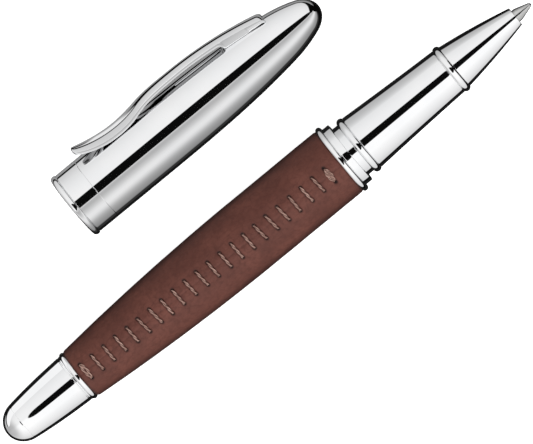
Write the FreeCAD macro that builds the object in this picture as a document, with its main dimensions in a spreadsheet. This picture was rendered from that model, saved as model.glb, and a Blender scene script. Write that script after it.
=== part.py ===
"""A rollerball pen with its cap off, as turned and stamped pieces in one parametric document.

The pen lies along +X with its writing tip at the +X end, and the cap lies beside it on the +Y side.
Both rest on z = 0. Every turned piece is drawn as a half outline, (distance along the axis, distance
out from it), and spun about that axis. Pen pieces measure "along" from the pen's tail end, and cap
pieces from the cap's mouth. All lengths are millimetres.
"""
import FreeCAD, Part
import math
import os
from types import SimpleNamespace

import Sketcher

SIZES = {
    # the whole pen, and where its cap lies
    "pen_length": 123.0,
    "cap_mouth_along": 35.35,
    "axes_apart": 24.2,
    "clip_turn": 26.0,
    "clip_reach": 8.83,
    # tail
    "dome_length": 3.6,
    "dome_dia": 7.7,
    "tail_cone_end": 16.2,
    "tail_cone_dia": 9.74,
    "tail_cone_arc": 180.0,
    "tail_band_width": 1.1,
    "tail_band_dia": 10.3,
    "stud_dia": 4.0,
    "stud_length": 4.0,
    "tail_spigot_dia": 8.0,
    "tail_spigot_length": 7.0,
    "refill_way_dia": 6.7,
    "spring_seat_at": 8.0,
    "spring_seat_thick": 1.4,
    "spring_pip_height": 0.8,
    # barrel
    "leather_end": 78.1,
    "leather_level": 58.0,
    "leather_dia": 13.86,
    "leather_tail_dia": 10.26,
    "leather_arc": 460.0,
    "leather_thick": 0.75,
    "front_ring_width": 1.1,
    "front_ring_dia": 14.45,
    "front_ring_crown": 0.32,
    "bush_length": 12.0,
    "bush_dia": 10.2,
    "bush_bore": 9.1,
    # seam
    "stitch_count": 22.0,
    "stitch_first": 18.7,
    "stitch_pitch": 2.7,
    "stitch_length": 3.4,
    "stitch_dia": 0.5,
    "needle_play": 0.06,
    "seam_turn": 6.0,
    # grip section
    "thread_dia": 9.0,
    "thread_length": 7.7,
    "thread_rings": 6.0,
    "thread_lead_in": 0.05,
    "thread_tube_into_grip": 2.5,
    "thread_pitch": 1.0,
    "thread_depth": 0.3,
    "collar_width": 1.45,
    "collar_dia": 12.72,
    "neck_width": 1.3,
    "neck_dia": 10.5,
    "stop_ring_width": 1.5,
    "stop_ring_dia": 11.9,
    "stop_ring_crown": 0.36,
    "grip_length": 20.2,
    "grip_back_dia": 11.3,
    "grip_front_dia": 9.36,
    "grip_ring_width": 1.45,
    "grip_ring_dia": 10.0,
    "grip_ring_crown": 0.25,
    "nose_end": 119.4,
    "nose_back_dia": 8.98,
    "nose_front_dia": 3.8,
    "nose_arc": 130.0,
    "nose_spigot_dia": 7.8,
    "nose_spigot_length": 2.6,
    "point_play": 0.1,
    "point_guide_length": 3.6,
    "point_guide_funnel": 3.8,
    "nozzle_play": 0.25,
    # refill
    "refill_tail": 12.5,
    "refill_dia": 6.1,
    "refill_wall": 0.25,
    "refill_tube_end": 98.0,
    "refill_plug_length": 3.0,
    "refill_vent_dia": 1.0,
    "refill_air_gap": 4.0,
    "ink_short": 6.0,
    "nozzle_spigot": 4.0,
    "nozzle_head": 3.0,
    "nozzle_head_bevel": 1.2,
    "nozzle_shoulder": 0.6,
    "nozzle_lip": 0.1,
    "nozzle_dia": 4.7,
    "nozzle_end": 114.6,
    "feed_dia": 1.8,
    "point_dia": 2.5,
    "point_back": 111.0,
    "point_cone": 2.5,
    "point_front_dia": 0.84,
    "ball_dia": 0.7,
    "ball_play": 0.02,
    "ball_cup_play": 0.05,
    "ball_stands_out": 0.3,
    "ink_channel_dia": 0.3,
    "spring_wire": 0.4,
    "spring_dia": 4.8,
    "spring_pitch": 0.72,
    "spring_play": 0.02,
    # cap
    "cap_length": 57.75,
    "cap_dia": 12.9,
    "cap_level": 19.0,
    "cap_taper_end": 48.7,
    "cap_taper_dia": 10.06,
    "cap_taper_arc": 330.0,
    "cap_shoulder_end": 55.35,
    "cap_shoulder_dia": 6.14,
    "cap_shoulder_arc": 24.0,
    "cap_bore": 12.2,
    "cap_bore_end": 22.5,
    "cap_wall": 0.6,
    "cap_end_wall": 3.0,
    "cap_ring_width": 1.3,
    "cap_ring_dia": 13.28,
    "cap_ring_crown": 0.28,
    "cap_line_at": 5.6,
    "cap_line_width": 0.14,
    "cap_line_lead_in": 0.02,
    "inner_cap_at": 4.0,
    "inner_cap_end": 45.4,
    "inner_cap_mouth_dia": 11.5,
    "inner_cap_grip_dia": 10.8,
    "inner_cap_mouth_taper": 5.0,
    "inner_cap_seal_at": 25.0,
    "inner_cap_seal_dia": 9.4,
    "inner_cap_seal_step": 0.4,
    "inner_cap_seal_back_dia": 10.3,
    "inner_cap_end_wall": 1.4,
    "inner_cap_pocket_dia": 4.0,
    "inner_cap_pocket_length": 4.0,
    "inner_cap_pocket_back_dia": 4.8,
    "slot_at": 46.1,
    "slot_length": 1.7,
    "slot_width": 1.9,
    "slot_cut_length": 8.0,
    "screw_gap": 0.4,
    "screw_head_length": 0.8,
    "screw_head_dia": 3.0,
    "screw_shaft_dia": 1.5,
    "screw_end_gap": 4.0,
    "retainer_end_gap": 4.6,
    "retainer_end_dia": 4.8,
    # clip
    "clip_end": 6.85,
    "clip_foot_at": 15.3,
    "clip_foot_height": 7.22,
    "clip_foot_arc": 19.1,
    "clip_bend_at": 20.3,
    "clip_crest_at": 29.3,
    "clip_crest_height": 8.62,
    "clip_rise_arc": 44.0,
    "clip_fall_arc": 71.0,
    "clip_thick": 0.62,
    "clip_block_at": 39.3,
    "clip_block_end": 48.2,
    "clip_width": 3.2,
    "clip_foot_width": 4.8,
    "clip_gap": 0.12,
    "clip_nose_height": 0.9,
    "clip_nose_arc": 1.1,
    "clip_floor_height": 4.6,
    "clip_lip_lean": 0.3,
    "clip_bend_lean": 0.15,
    "clip_side_spare": 1.0,
    "clip_tip_width": 1.76,
    "clip_tip_arc": 1.3,
    "clip_foot_side_arc": 16.0,
    "clip_waist_at": 23.8,
    "clip_waist_width": 3.36,
    "clip_waist_side_arc": 30.0,
    "clip_plan_height": 20.0,
    "tongue_play": 0.35,
    "tongue_end_play": 0.2,
    "tongue_side_play": 0.3,
    "tongue_bottom": 3.9,
    "tongue_height": 2.2,
}


class Size:
    """A length and the spreadsheet expression that it comes from."""

    def __init__(self, value, rule):
        self.value = value
        self.rule = rule

    def combine(self, sign, other, work):
        other = as_size(other)
        return Size(work(self.value, other.value), "(%s %s %s)" % (self.rule, sign, other.rule))

    def __add__(self, other):
        return self.combine("+", other, lambda a, b: a + b)

    def __sub__(self, other):
        return self.combine("-", other, lambda a, b: a - b)

    def __mul__(self, other):
        return self.combine("*", other, lambda a, b: a * b)

    def __truediv__(self, other):
        return self.combine("/", other, lambda a, b: a / b)


def as_size(number):
    return number if isinstance(number, Size) else Size(float(number), repr(float(number)))


doc = FreeCAD.newDocument("rollerball_pen")
sheet = doc.addObject("Spreadsheet::Sheet", "dims")
for row, (alias, length) in enumerate(SIZES.items(), start=1):
    sheet.set("A%d" % row, alias)
    sheet.set("B%d" % row, str(length))
    sheet.setAlias("B%d" % row, alias)
doc.recompute()
dim = SimpleNamespace(**{alias: Size(length, "dims." + alias) for alias, length in SIZES.items()})
ON_AXIS = as_size(0.0)

# Places of the pen's and the cap's axes in the row frame.
overall_width = dim.front_ring_dia / 2 + dim.axes_apart + dim.clip_reach
PEN_PLACE = (
    dim.pen_length / -2,
    dim.front_ring_dia / 2 - overall_width / 2,
    dim.front_ring_dia / 2,
)
CAP_PLACE = (
    dim.cap_mouth_along - dim.pen_length / 2,
    overall_width / 2 - dim.clip_reach,
    dim.cap_ring_dia / 2,
)

nodes = []


def place(obj, at):
    """Puts a piece's own axis where the pen's or the cap's axis lies, bound to the sheet."""
    for letter, where in zip("xyz", at):
        obj.setExpression("Placement.Base." + letter, where.rule)


def face_clip_way(obj):
    """Turns a cap piece about the cap's axis, so that its +Z side faces the way the clip does."""
    obj.setExpression("Placement.Rotation.Axis.x", "1")
    obj.setExpression("Placement.Rotation.Axis.z", "0")
    obj.setExpression("Placement.Rotation.Angle", "dims.clip_turn - 90")


def origin_part(body, role):
    return next(part for part in body.Origin.OriginFeatures if part.Role == role)


def arc_centre(start, end, radius):
    """Centre of the arc from start to end that bulges to the left of the way it goes."""
    across = math.dist(start, end)
    reach = math.sqrt(radius * radius - across * across / 4) / across
    side = 1 if radius > 0 else -1
    middle = [(a + b) / 2 for a, b in zip(start, end)]
    return (
        middle[0] + side * reach * (end[1] - start[1]),
        middle[1] - side * reach * (end[0] - start[0]),
    )


def draw(sketch, outline):
    """Draws a closed outline and binds every corner to the sheet.

    A corner is (along, out), or (along, out, radius) where the stretch that leaves it is an arc: a
    positive radius bulges to the left of the way the outline goes, a negative one to the right.
    """
    corners = [tuple(as_size(part) for part in corner) for corner in outline]
    points = [(corner[0].value, corner[1].value) for corner in corners]
    edges = []
    for index, corner in enumerate(corners):
        start, end = points[index], points[(index + 1) % len(points)]
        if len(corner) == 2:
            line = Part.LineSegment(FreeCAD.Vector(*start, 0), FreeCAD.Vector(*end, 0))
            edges.append((sketch.addGeometry(line, False), 1, 2))
            continue
        radius = corner[2].value
        centre = arc_centre(start, end, radius)
        first, last = (end, start) if radius > 0 else (start, end)
        angles = [math.atan2(p[1] - centre[1], p[0] - centre[0]) for p in (first, last)]
        circle = Part.Circle(FreeCAD.Vector(*centre, 0), FreeCAD.Vector(0, 0, 1), abs(radius))
        arc = sketch.addGeometry(Part.ArcOfCircle(circle, *angles), False)
        edges.append((arc, 2, 1) if radius > 0 else (arc, 1, 2))
        bind(sketch, Sketcher.Constraint("Radius", arc, abs(radius)), corner[2], radius < 0)
    for index, (edge, begin, _) in enumerate(edges):
        before, _, finish = edges[index - 1]
        sketch.addConstraint(Sketcher.Constraint("Coincident", before, finish, edge, begin))
        along, out = corners[index][:2]
        bind(sketch, Sketcher.Constraint("DistanceX", -1, 1, edge, begin, along.value), along)
        bind(sketch, Sketcher.Constraint("DistanceY", -1, 1, edge, begin, out.value), out)


def bind(sketch, constraint, size, flip=False):
    number = sketch.addConstraint(constraint)
    rule = "-1 * " + size.rule if flip else size.rule
    sketch.setExpression("Constraints[%d]" % number, rule)


def sketch_on(body, role, outline, name):
    sketch = body.newObject("Sketcher::SketchObject", body.Name + "_" + name)
    sketch.AttachmentSupport = [(origin_part(body, role), "")]
    sketch.MapMode = "FlatFace"
    draw(sketch, outline)
    return sketch


def turned_body(label, outline, at):
    """A half outline spun about its own X axis."""
    body = doc.addObject("PartDesign::Body", label)
    body.Label = label
    profile = sketch_on(body, "XZ_Plane", outline, "outline")
    spin = body.newObject("PartDesign::Revolution", label + "_turned")
    spin.Profile = profile
    spin.ReferenceAxis = (profile, ["H_Axis"])
    spin.Angle = 360.0
    place(body, at)
    doc.recompute()
    return body


def turned(label, outline, at):
    """A turned piece that is a node of its own."""
    body = turned_body(label, outline, at)
    nodes.append(body)
    return body


def cut_rings(body, outline, count, pitch):
    """Turns a small groove into a body, then repeats it along the axis as thread rings."""
    profile = sketch_on(body, "XZ_Plane", outline, "groove_outline")
    groove = body.newObject("PartDesign::Groove", body.Name + "_groove")
    groove.Profile = profile
    groove.ReferenceAxis = (profile, ["H_Axis"])
    groove.Angle = 360.0
    doc.recompute()
    if count > 1:
        row = body.newObject("PartDesign::LinearPattern", body.Name + "_grooves")
        row.Originals = [groove]
        row.Direction = (profile, ["H_Axis"])
        row.Occurrences = count
        row.setExpression("Length", (pitch * (count - 1)).rule)
        body.Tip = row
        doc.recompute()


def crown_arc(width, height):
    """Radius of the arc that rises by height over a ring of that width."""
    return (width * width / 4 + height * height) / (height * 2)


def bead(label, start, width, dia, crown, bore, at):
    """A trim ring with a rounded outside."""
    rim = dia / 2 - crown
    turned(
        label,
        [
            (start, rim, crown_arc(width, crown)),
            (start + width, rim),
            (start + width, bore / 2),
            (start, bore / 2),
        ],
        at,
    )


def make_tail():
    """Domed end, cone, band and the seat that the refill's spring pushes against."""
    dome = dim.dome_length
    stud_end = dome + dim.stud_length
    turned(
        "tail_finial",
        [
            (ON_AXIS, ON_AXIS, crown_arc(dim.dome_dia, dome)),
            (dome, dim.dome_dia / 2),
            (dome, dim.stud_dia / 2),
            (stud_end, dim.stud_dia / 2),
            (stud_end, ON_AXIS),
        ],
        PEN_PLACE,
    )
    spigot_end = dim.tail_cone_end + dim.tail_spigot_length
    turned(
        "tail_cone",
        [
            (dome, dim.dome_dia / 2, dim.tail_cone_arc),
            (dim.tail_cone_end, dim.tail_cone_dia / 2),
            (dim.tail_cone_end, dim.tail_spigot_dia / 2),
            (spigot_end, dim.tail_spigot_dia / 2),
            (spigot_end, dim.refill_way_dia / 2),
            (dim.spring_seat_at, dim.refill_way_dia / 2),
            (dim.spring_seat_at, dim.stud_dia / 2),
            (dome, dim.stud_dia / 2),
        ],
        PEN_PLACE,
    )
    band_crown = (dim.tail_band_dia - dim.tail_cone_dia) / 2
    bead(
        "tail_band",
        dim.tail_cone_end,
        dim.tail_band_width,
        dim.tail_band_dia,
        band_crown,
        dim.tail_spigot_dia,
        PEN_PLACE,
    )
    seat_front = dim.spring_seat_at + dim.spring_seat_thick
    pip_dia = dim.spring_dia - dim.spring_wire * 3
    turned(
        "spring_seat",
        [
            (dim.spring_seat_at, ON_AXIS),
            (dim.spring_seat_at, dim.refill_way_dia / 2),
            (seat_front, dim.refill_way_dia / 2),
            (seat_front, pip_dia / 2),
            (seat_front + dim.spring_pip_height, pip_dia / 2),
            (seat_front + dim.spring_pip_height, ON_AXIS),
        ],
        PEN_PLACE,
    )


def make_barrel():
    """Brass tube, the leather drawn over it, the mouth ring and the threaded bush."""
    start = dim.tail_cone_end + dim.tail_band_width
    end, level = dim.leather_end, dim.leather_level
    bush_back = end - dim.bush_length
    skin = dim.leather_thick
    hide = turned_body(
        "leather_blank",
        [
            (start, dim.leather_tail_dia / 2, dim.leather_arc),
            (level, dim.leather_dia / 2),
            (end, dim.leather_dia / 2),
            (end, dim.leather_dia / 2 - skin),
            (level, dim.leather_dia / 2 - skin, dim.leather_arc * -1),
            (start, dim.leather_tail_dia / 2 - skin),
        ],
        PEN_PLACE,
    )
    leather = doc.addObject("Part::Cut", "leather_sleeve")
    leather.Label = "leather_sleeve"
    leather.Base = hide
    leather.Tool = stitch_row("needle_way", dim.stitch_dia / 2 + dim.needle_play)
    doc.recompute()
    nodes.append(leather)
    turned(
        "barrel_tube",
        [
            (start, dim.leather_tail_dia / 2 - skin, dim.leather_arc),
            (level, dim.leather_dia / 2 - skin),
            (end, dim.leather_dia / 2 - skin),
            (end, dim.bush_dia / 2),
            (bush_back, dim.bush_dia / 2),
            (bush_back, dim.tail_spigot_dia / 2),
            (start, dim.tail_spigot_dia / 2),
        ],
        PEN_PLACE,
    )
    bead(
        "front_trim_ring",
        end,
        dim.front_ring_width,
        dim.front_ring_dia,
        dim.front_ring_crown,
        dim.bush_dia,
        PEN_PLACE,
    )
    bush_front = end + dim.front_ring_width
    bush = turned(
        "barrel_thread_bush",
        [
            (bush_back, dim.bush_dia / 2),
            (bush_front, dim.bush_dia / 2),
            (bush_front, dim.bush_bore / 2),
            (bush_back, dim.bush_bore / 2),
        ],
        PEN_PLACE,
    )
    first = bush_front - dim.thread_length
    cut_rings(
        bush,
        [
            (first, dim.bush_bore / 2 - dim.thread_lead_in),
            (first + dim.thread_pitch / 4, dim.bush_bore / 2 + dim.thread_depth),
            (first + dim.thread_pitch / 2, dim.bush_bore / 2 - dim.thread_lead_in),
        ],
        int(SIZES["thread_rings"]),
        dim.thread_pitch,
    )


def leather_radius(along):
    """Outside radius of the leather there: an arc up to where it runs level."""
    if along.value >= dim.leather_level.value:
        return dim.leather_dia / 2
    short = dim.leather_level - along
    return dim.leather_dia / 2 - short * short / (dim.leather_arc * 2)


def stitch_row(name, thread_radius):
    """A row of short arcs of thread across the seam, which lies a little to the -Y side of the top."""
    degrees_in_radian = 180 / math.pi
    upright = FreeCAD.Rotation(
        FreeCAD.Vector(0, 0, 1), FreeCAD.Vector(0, -1, 0), FreeCAD.Vector(1, 0, 0), "ZXY"
    )
    links = []
    for number in range(int(SIZES["stitch_count"])):
        along = dim.stitch_first + dim.stitch_pitch * number
        ring = leather_radius(along)
        sweep = dim.stitch_length / ring * degrees_in_radian
        stitch = doc.addObject("Part::Torus", "%s_%02d" % (name, number + 1))
        stitch.setExpression("Radius1", ring.rule)
        stitch.setExpression("Radius2", thread_radius.rule)
        stitch.setExpression("Angle3", sweep.rule)
        lean = FreeCAD.Rotation(
            FreeCAD.Vector(1, 0, 0), SIZES["seam_turn"] - sweep.value / 2
        )
        stitch.Placement = FreeCAD.Placement(FreeCAD.Vector(0, 0, 0), lean * upright)
        place(stitch, (PEN_PLACE[0] + along, PEN_PLACE[1], PEN_PLACE[2]))
        links.append(stitch)
    row = doc.addObject("Part::Compound", name)
    row.Label = name
    row.Links = links
    doc.recompute()
    return row


def make_section():
    """Everything that unscrews with the grip: threaded tube, collar, stop ring, grip, nose."""
    face = dim.leather_end + dim.front_ring_width
    collar_end = face + dim.collar_width
    neck_end = collar_end + dim.neck_width
    grip_start = neck_end + dim.stop_ring_width
    grip_end = grip_start + dim.grip_length
    ring_end = grip_end + dim.grip_ring_width
    tube_back = face - dim.thread_length
    tube_end = grip_start + dim.thread_tube_into_grip
    thread = turned(
        "section_thread_tube",
        [
            (tube_back, dim.thread_dia / 2),
            (tube_end, dim.thread_dia / 2),
            (tube_end, dim.refill_way_dia / 2),
            (tube_back, dim.refill_way_dia / 2),
        ],
        PEN_PLACE,
    )
    first = tube_back + dim.thread_pitch / 2
    cut_rings(
        thread,
        [
            (first, dim.thread_dia / 2 + dim.thread_lead_in),
            (first + dim.thread_pitch / 2, dim.thread_dia / 2 + dim.thread_lead_in),
            (first + dim.thread_pitch / 4, dim.thread_dia / 2 - dim.thread_depth),
        ],
        int(SIZES["thread_rings"]),
        dim.thread_pitch,
    )
    turned(
        "section_collar",
        [
            (face, dim.collar_dia / 2),
            (collar_end, dim.collar_dia / 2),
            (collar_end, dim.neck_dia / 2),
            (neck_end, dim.neck_dia / 2),
            (neck_end, dim.thread_dia / 2),
            (face, dim.thread_dia / 2),
        ],
        PEN_PLACE,
    )
    bead(
        "cap_stop_ring",
        neck_end,
        dim.stop_ring_width,
        dim.stop_ring_dia,
        dim.stop_ring_crown,
        dim.thread_dia,
        PEN_PLACE,
    )
    spigot_end = grip_end + dim.nose_spigot_length
    turned(
        "grip_sleeve",
        [
            (grip_start, dim.grip_back_dia / 2),
            (grip_end, dim.grip_front_dia / 2),
            (grip_end, dim.nose_spigot_dia / 2),
            (spigot_end, dim.nose_spigot_dia / 2),
            (spigot_end, dim.refill_way_dia / 2),
            (tube_end, dim.refill_way_dia / 2),
            (tube_end, dim.thread_dia / 2),
            (grip_start, dim.thread_dia / 2),
        ],
        PEN_PLACE,
    )
    bead(
        "grip_front_ring",
        grip_end,
        dim.grip_ring_width,
        dim.grip_ring_dia,
        dim.grip_ring_crown,
        dim.nose_spigot_dia,
        PEN_PLACE,
    )
    guide = dim.point_dia / 2 + dim.point_play
    guide_back = dim.nose_end - dim.point_guide_length
    nozzle_way = dim.nozzle_dia / 2 + dim.nozzle_play
    turned(
        "nose_cone",
        [
            (ring_end, dim.nose_back_dia / 2, dim.nose_arc),
            (dim.nose_end, dim.nose_front_dia / 2),
            (dim.nose_end, guide),
            (guide_back, guide),
            (guide_back - dim.point_guide_funnel, nozzle_way),
            (spigot_end, nozzle_way),
            (spigot_end, dim.nose_spigot_dia / 2),
            (ring_end, dim.nose_spigot_dia / 2),
        ],
        PEN_PLACE,
    )


def make_refill():
    """The refill: tube, end plug, ink, nozzle with its feed rod, metal point and ball."""
    tail, tube_end = dim.refill_tail, dim.refill_tube_end
    outer = dim.refill_dia / 2
    inner = outer - dim.refill_wall
    plug_end = tail + dim.refill_plug_length
    ink_start = plug_end + dim.refill_air_gap
    ink_end = tube_end - dim.ink_short
    spigot_back = tube_end - dim.nozzle_spigot
    head_end = tube_end + dim.nozzle_head
    nozzle_out = dim.nozzle_dia / 2
    vent = dim.refill_vent_dia / 2
    turned(
        "refill_tube",
        [(tail, outer), (tube_end, outer), (tube_end, inner), (tail, inner)],
        PEN_PLACE,
    )
    turned(
        "refill_end_plug",
        [(tail, inner), (plug_end, inner), (plug_end, vent), (tail, vent)],
        PEN_PLACE,
    )
    turned(
        "refill_ink",
        [(ink_start, ON_AXIS), (ink_start, inner), (ink_end, inner), (ink_end, ON_AXIS)],
        PEN_PLACE,
    )
    feed_out = dim.feed_dia / 2
    point_out = dim.point_dia / 2
    turned(
        "refill_nozzle",
        [
            (spigot_back, inner),
            (tube_end, inner),
            (tube_end, outer),
            (head_end, outer),
            (head_end + dim.nozzle_head_bevel, nozzle_out),
            (dim.point_back + dim.nozzle_shoulder, nozzle_out),
            (dim.nozzle_end, point_out + dim.nozzle_lip),
            (dim.nozzle_end, point_out),
            (dim.point_back, point_out),
            (dim.point_back, feed_out),
            (spigot_back, feed_out),
        ],
        PEN_PLACE,
    )
    turned(
        "refill_feed_rod",
        [
            (ink_end, ON_AXIS),
            (ink_end, feed_out),
            (dim.point_back, feed_out),
            (dim.point_back, ON_AXIS),
        ],
        PEN_PLACE,
    )
    front = dim.pen_length - dim.ball_stands_out
    cone_back = front - dim.point_cone
    cup = dim.ball_dia / 2 + dim.ball_play
    cup_back = dim.pen_length - dim.ball_dia - dim.ball_cup_play
    channel = dim.ink_channel_dia / 2
    turned(
        "refill_point",
        [
            (dim.point_back, point_out),
            (cone_back, point_out),
            (front, dim.point_front_dia / 2),
            (front, cup),
            (cup_back, cup),
            (cup_back, channel),
            (dim.point_back, channel),
        ],
        PEN_PLACE,
    )
    ball = doc.addObject("Part::Sphere", "refill_ball")
    ball.Label = "refill_ball"
    ball.setExpression("Radius", "dims.ball_dia / 2")
    place(ball, (PEN_PLACE[0] + dim.pen_length - dim.ball_dia / 2, PEN_PLACE[1], PEN_PLACE[2]))
    doc.recompute()
    nodes.append(ball)


def make_spring():
    """The coil spring between its seat and the back of the refill."""
    seat_front = dim.spring_seat_at + dim.spring_seat_thick
    start = seat_front + dim.spring_wire / 2 + dim.spring_play
    height = dim.refill_tail - start - dim.spring_wire / 2 - dim.spring_play
    body = doc.addObject("PartDesign::Body", "refill_spring")
    body.Label = "refill_spring"
    wire = body.newObject("Sketcher::SketchObject", "spring_wire_outline")
    wire.AttachmentSupport = [(origin_part(body, "XZ_Plane"), "")]
    wire.MapMode = "FlatFace"
    coil_radius = (dim.spring_dia - dim.spring_wire) / 2
    centre = FreeCAD.Vector(start.value, coil_radius.value, 0)
    circle = Part.Circle(centre, FreeCAD.Vector(0, 0, 1), SIZES["spring_wire"] / 2)
    ring = wire.addGeometry(circle, False)
    bind(wire, Sketcher.Constraint("Radius", ring, circle.Radius), dim.spring_wire / 2)
    bind(wire, Sketcher.Constraint("DistanceX", -1, 1, ring, 3, start.value), start)
    bind(wire, Sketcher.Constraint("DistanceY", -1, 1, ring, 3, centre.y), coil_radius)
    coil = body.newObject("PartDesign::AdditiveHelix", "spring_coil")
    coil.Profile = wire
    coil.ReferenceAxis = (wire, ["H_Axis"])
    coil.Mode = "pitch-height-angle"
    coil.setExpression("Pitch", "dims.spring_pitch")
    coil.setExpression("Height", height.rule)
    place(body, PEN_PLACE)
    doc.recompute()
    nodes.append(body)


def cap_outside(swell):
    """Outside of the cap shell from its mouth ring to its closed end, grown by swell."""
    end_dia = dim.cap_shoulder_dia + swell * 2
    end_rise = dim.cap_length + swell - dim.cap_shoulder_end
    return [
        (dim.cap_ring_width, dim.cap_dia / 2 + swell),
        (dim.cap_level, dim.cap_dia / 2 + swell, dim.cap_taper_arc + swell),
        (dim.cap_taper_end, dim.cap_taper_dia / 2 + swell, dim.cap_shoulder_arc + swell),
        (dim.cap_shoulder_end, end_dia / 2, crown_arc(end_dia, end_rise)),
        (dim.cap_length + swell, ON_AXIS),
    ]


def cut_slot(body):
    """Cuts the slot that the clip's tongue goes through, on the shell's clip side."""
    half = dim.slot_width / 2
    slot = sketch_on(
        body,
        "XY_Plane",
        [
            (dim.slot_at, half * -1),
            (dim.slot_at, half),
            (dim.slot_at + dim.slot_length, half),
            (dim.slot_at + dim.slot_length, half * -1),
        ],
        "slot_outline",
    )
    cut = body.newObject("PartDesign::Pocket", body.Name + "_slot")
    cut.Profile = slot
    cut.Type = "Length"
    cut.setExpression("Length", "dims.slot_cut_length")
    cut.Reversed = True
    before = body.Shape.Volume
    doc.recompute()
    if body.Shape.Volume >= before:
        raise RuntimeError(body.Name + ": the slot cut nothing")


def cap_inside(along):
    """Radius of the shell's inside there, in front of its level bore."""
    bore = dim.cap_bore / 2
    narrow = bore - dim.cap_taper_dia / 2 + dim.cap_wall
    return bore - narrow * (along - dim.cap_bore_end) / (dim.cap_taper_end - dim.cap_bore_end)


def make_cap():
    """Cap shell, its mouth ring, the plastic inner cap and what holds the clip inside."""
    ring = dim.cap_ring_width
    bore = dim.cap_bore / 2
    shell = turned(
        "cap_shell",
        cap_outside(ON_AXIS)
        + [
            (dim.cap_length - dim.cap_end_wall, ON_AXIS),
            (dim.cap_length - dim.cap_end_wall, dim.cap_shoulder_dia / 2 - dim.cap_wall),
            (dim.cap_taper_end, dim.cap_taper_dia / 2 - dim.cap_wall),
            (dim.cap_bore_end, bore),
            (ring, bore),
        ],
        CAP_PLACE,
    )
    line = dim.cap_line_width / 2
    cut_rings(
        shell,
        [
            (dim.cap_line_at - line, dim.cap_dia / 2 + dim.cap_line_lead_in),
            (dim.cap_line_at + line, dim.cap_dia / 2 + dim.cap_line_lead_in),
            (dim.cap_line_at, dim.cap_dia / 2 - line),
        ],
        1,
        line,
    )
    cut_slot(shell)
    bead(
        "cap_mouth_ring",
        ON_AXIS,
        ring,
        dim.cap_ring_dia,
        dim.cap_ring_crown,
        dim.cap_bore,
        CAP_PLACE,
    )
    at, end = dim.inner_cap_at, dim.inner_cap_end
    pocket_end = end - dim.inner_cap_end_wall
    seal_at = dim.inner_cap_seal_at
    turned(
        "inner_cap",
        [
            (at, bore),
            (dim.cap_bore_end, bore),
            (end, cap_inside(end)),
            (end, ON_AXIS),
            (pocket_end, ON_AXIS),
            (pocket_end, dim.inner_cap_pocket_dia / 2),
            (pocket_end - dim.inner_cap_pocket_length, dim.inner_cap_pocket_back_dia / 2),
            (seal_at, dim.inner_cap_seal_dia / 2),
            (seal_at - dim.inner_cap_seal_step, dim.inner_cap_seal_back_dia / 2),
            (at + dim.inner_cap_mouth_taper, dim.inner_cap_grip_dia / 2),
            (at, dim.inner_cap_mouth_dia / 2),
        ],
        CAP_PLACE,
    )
    back = end + dim.screw_gap
    head = back + dim.screw_head_length
    shaft = dim.screw_shaft_dia / 2
    retainer = turned(
        "clip_retainer",
        [
            (head, cap_inside(head)),
            (dim.cap_taper_end, dim.cap_taper_dia / 2 - dim.cap_wall),
            (dim.cap_length - dim.retainer_end_gap, dim.retainer_end_dia / 2),
            (dim.cap_length - dim.retainer_end_gap, shaft),
            (head, shaft),
        ],
        CAP_PLACE,
    )
    cut_slot(retainer)
    turned(
        "clip_screw",
        [
            (back, ON_AXIS),
            (back, dim.screw_head_dia / 2),
            (head, dim.screw_head_dia / 2),
            (head, shaft),
            (dim.cap_length - dim.screw_end_gap, shaft),
            (dim.cap_length - dim.screw_end_gap, ON_AXIS),
        ],
        CAP_PLACE,
    )
    for piece in (shell, retainer):
        face_clip_way(piece)


def arc_height(along, centre_at, centre_height, radius):
    """Height of a circle's lower or upper side there: a negative radius takes the lower side."""
    offset = along - centre_at
    rise = (radius * radius - offset * offset).value ** 0.5
    return Size(
        centre_height.value + math.copysign(rise, radius.value),
        "(%s %s sqrt(%s))"
        % (
            centre_height.rule,
            "-" if radius.value < 0 else "+",
            (radius * radius - offset * offset).rule,
        ),
    )


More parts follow.
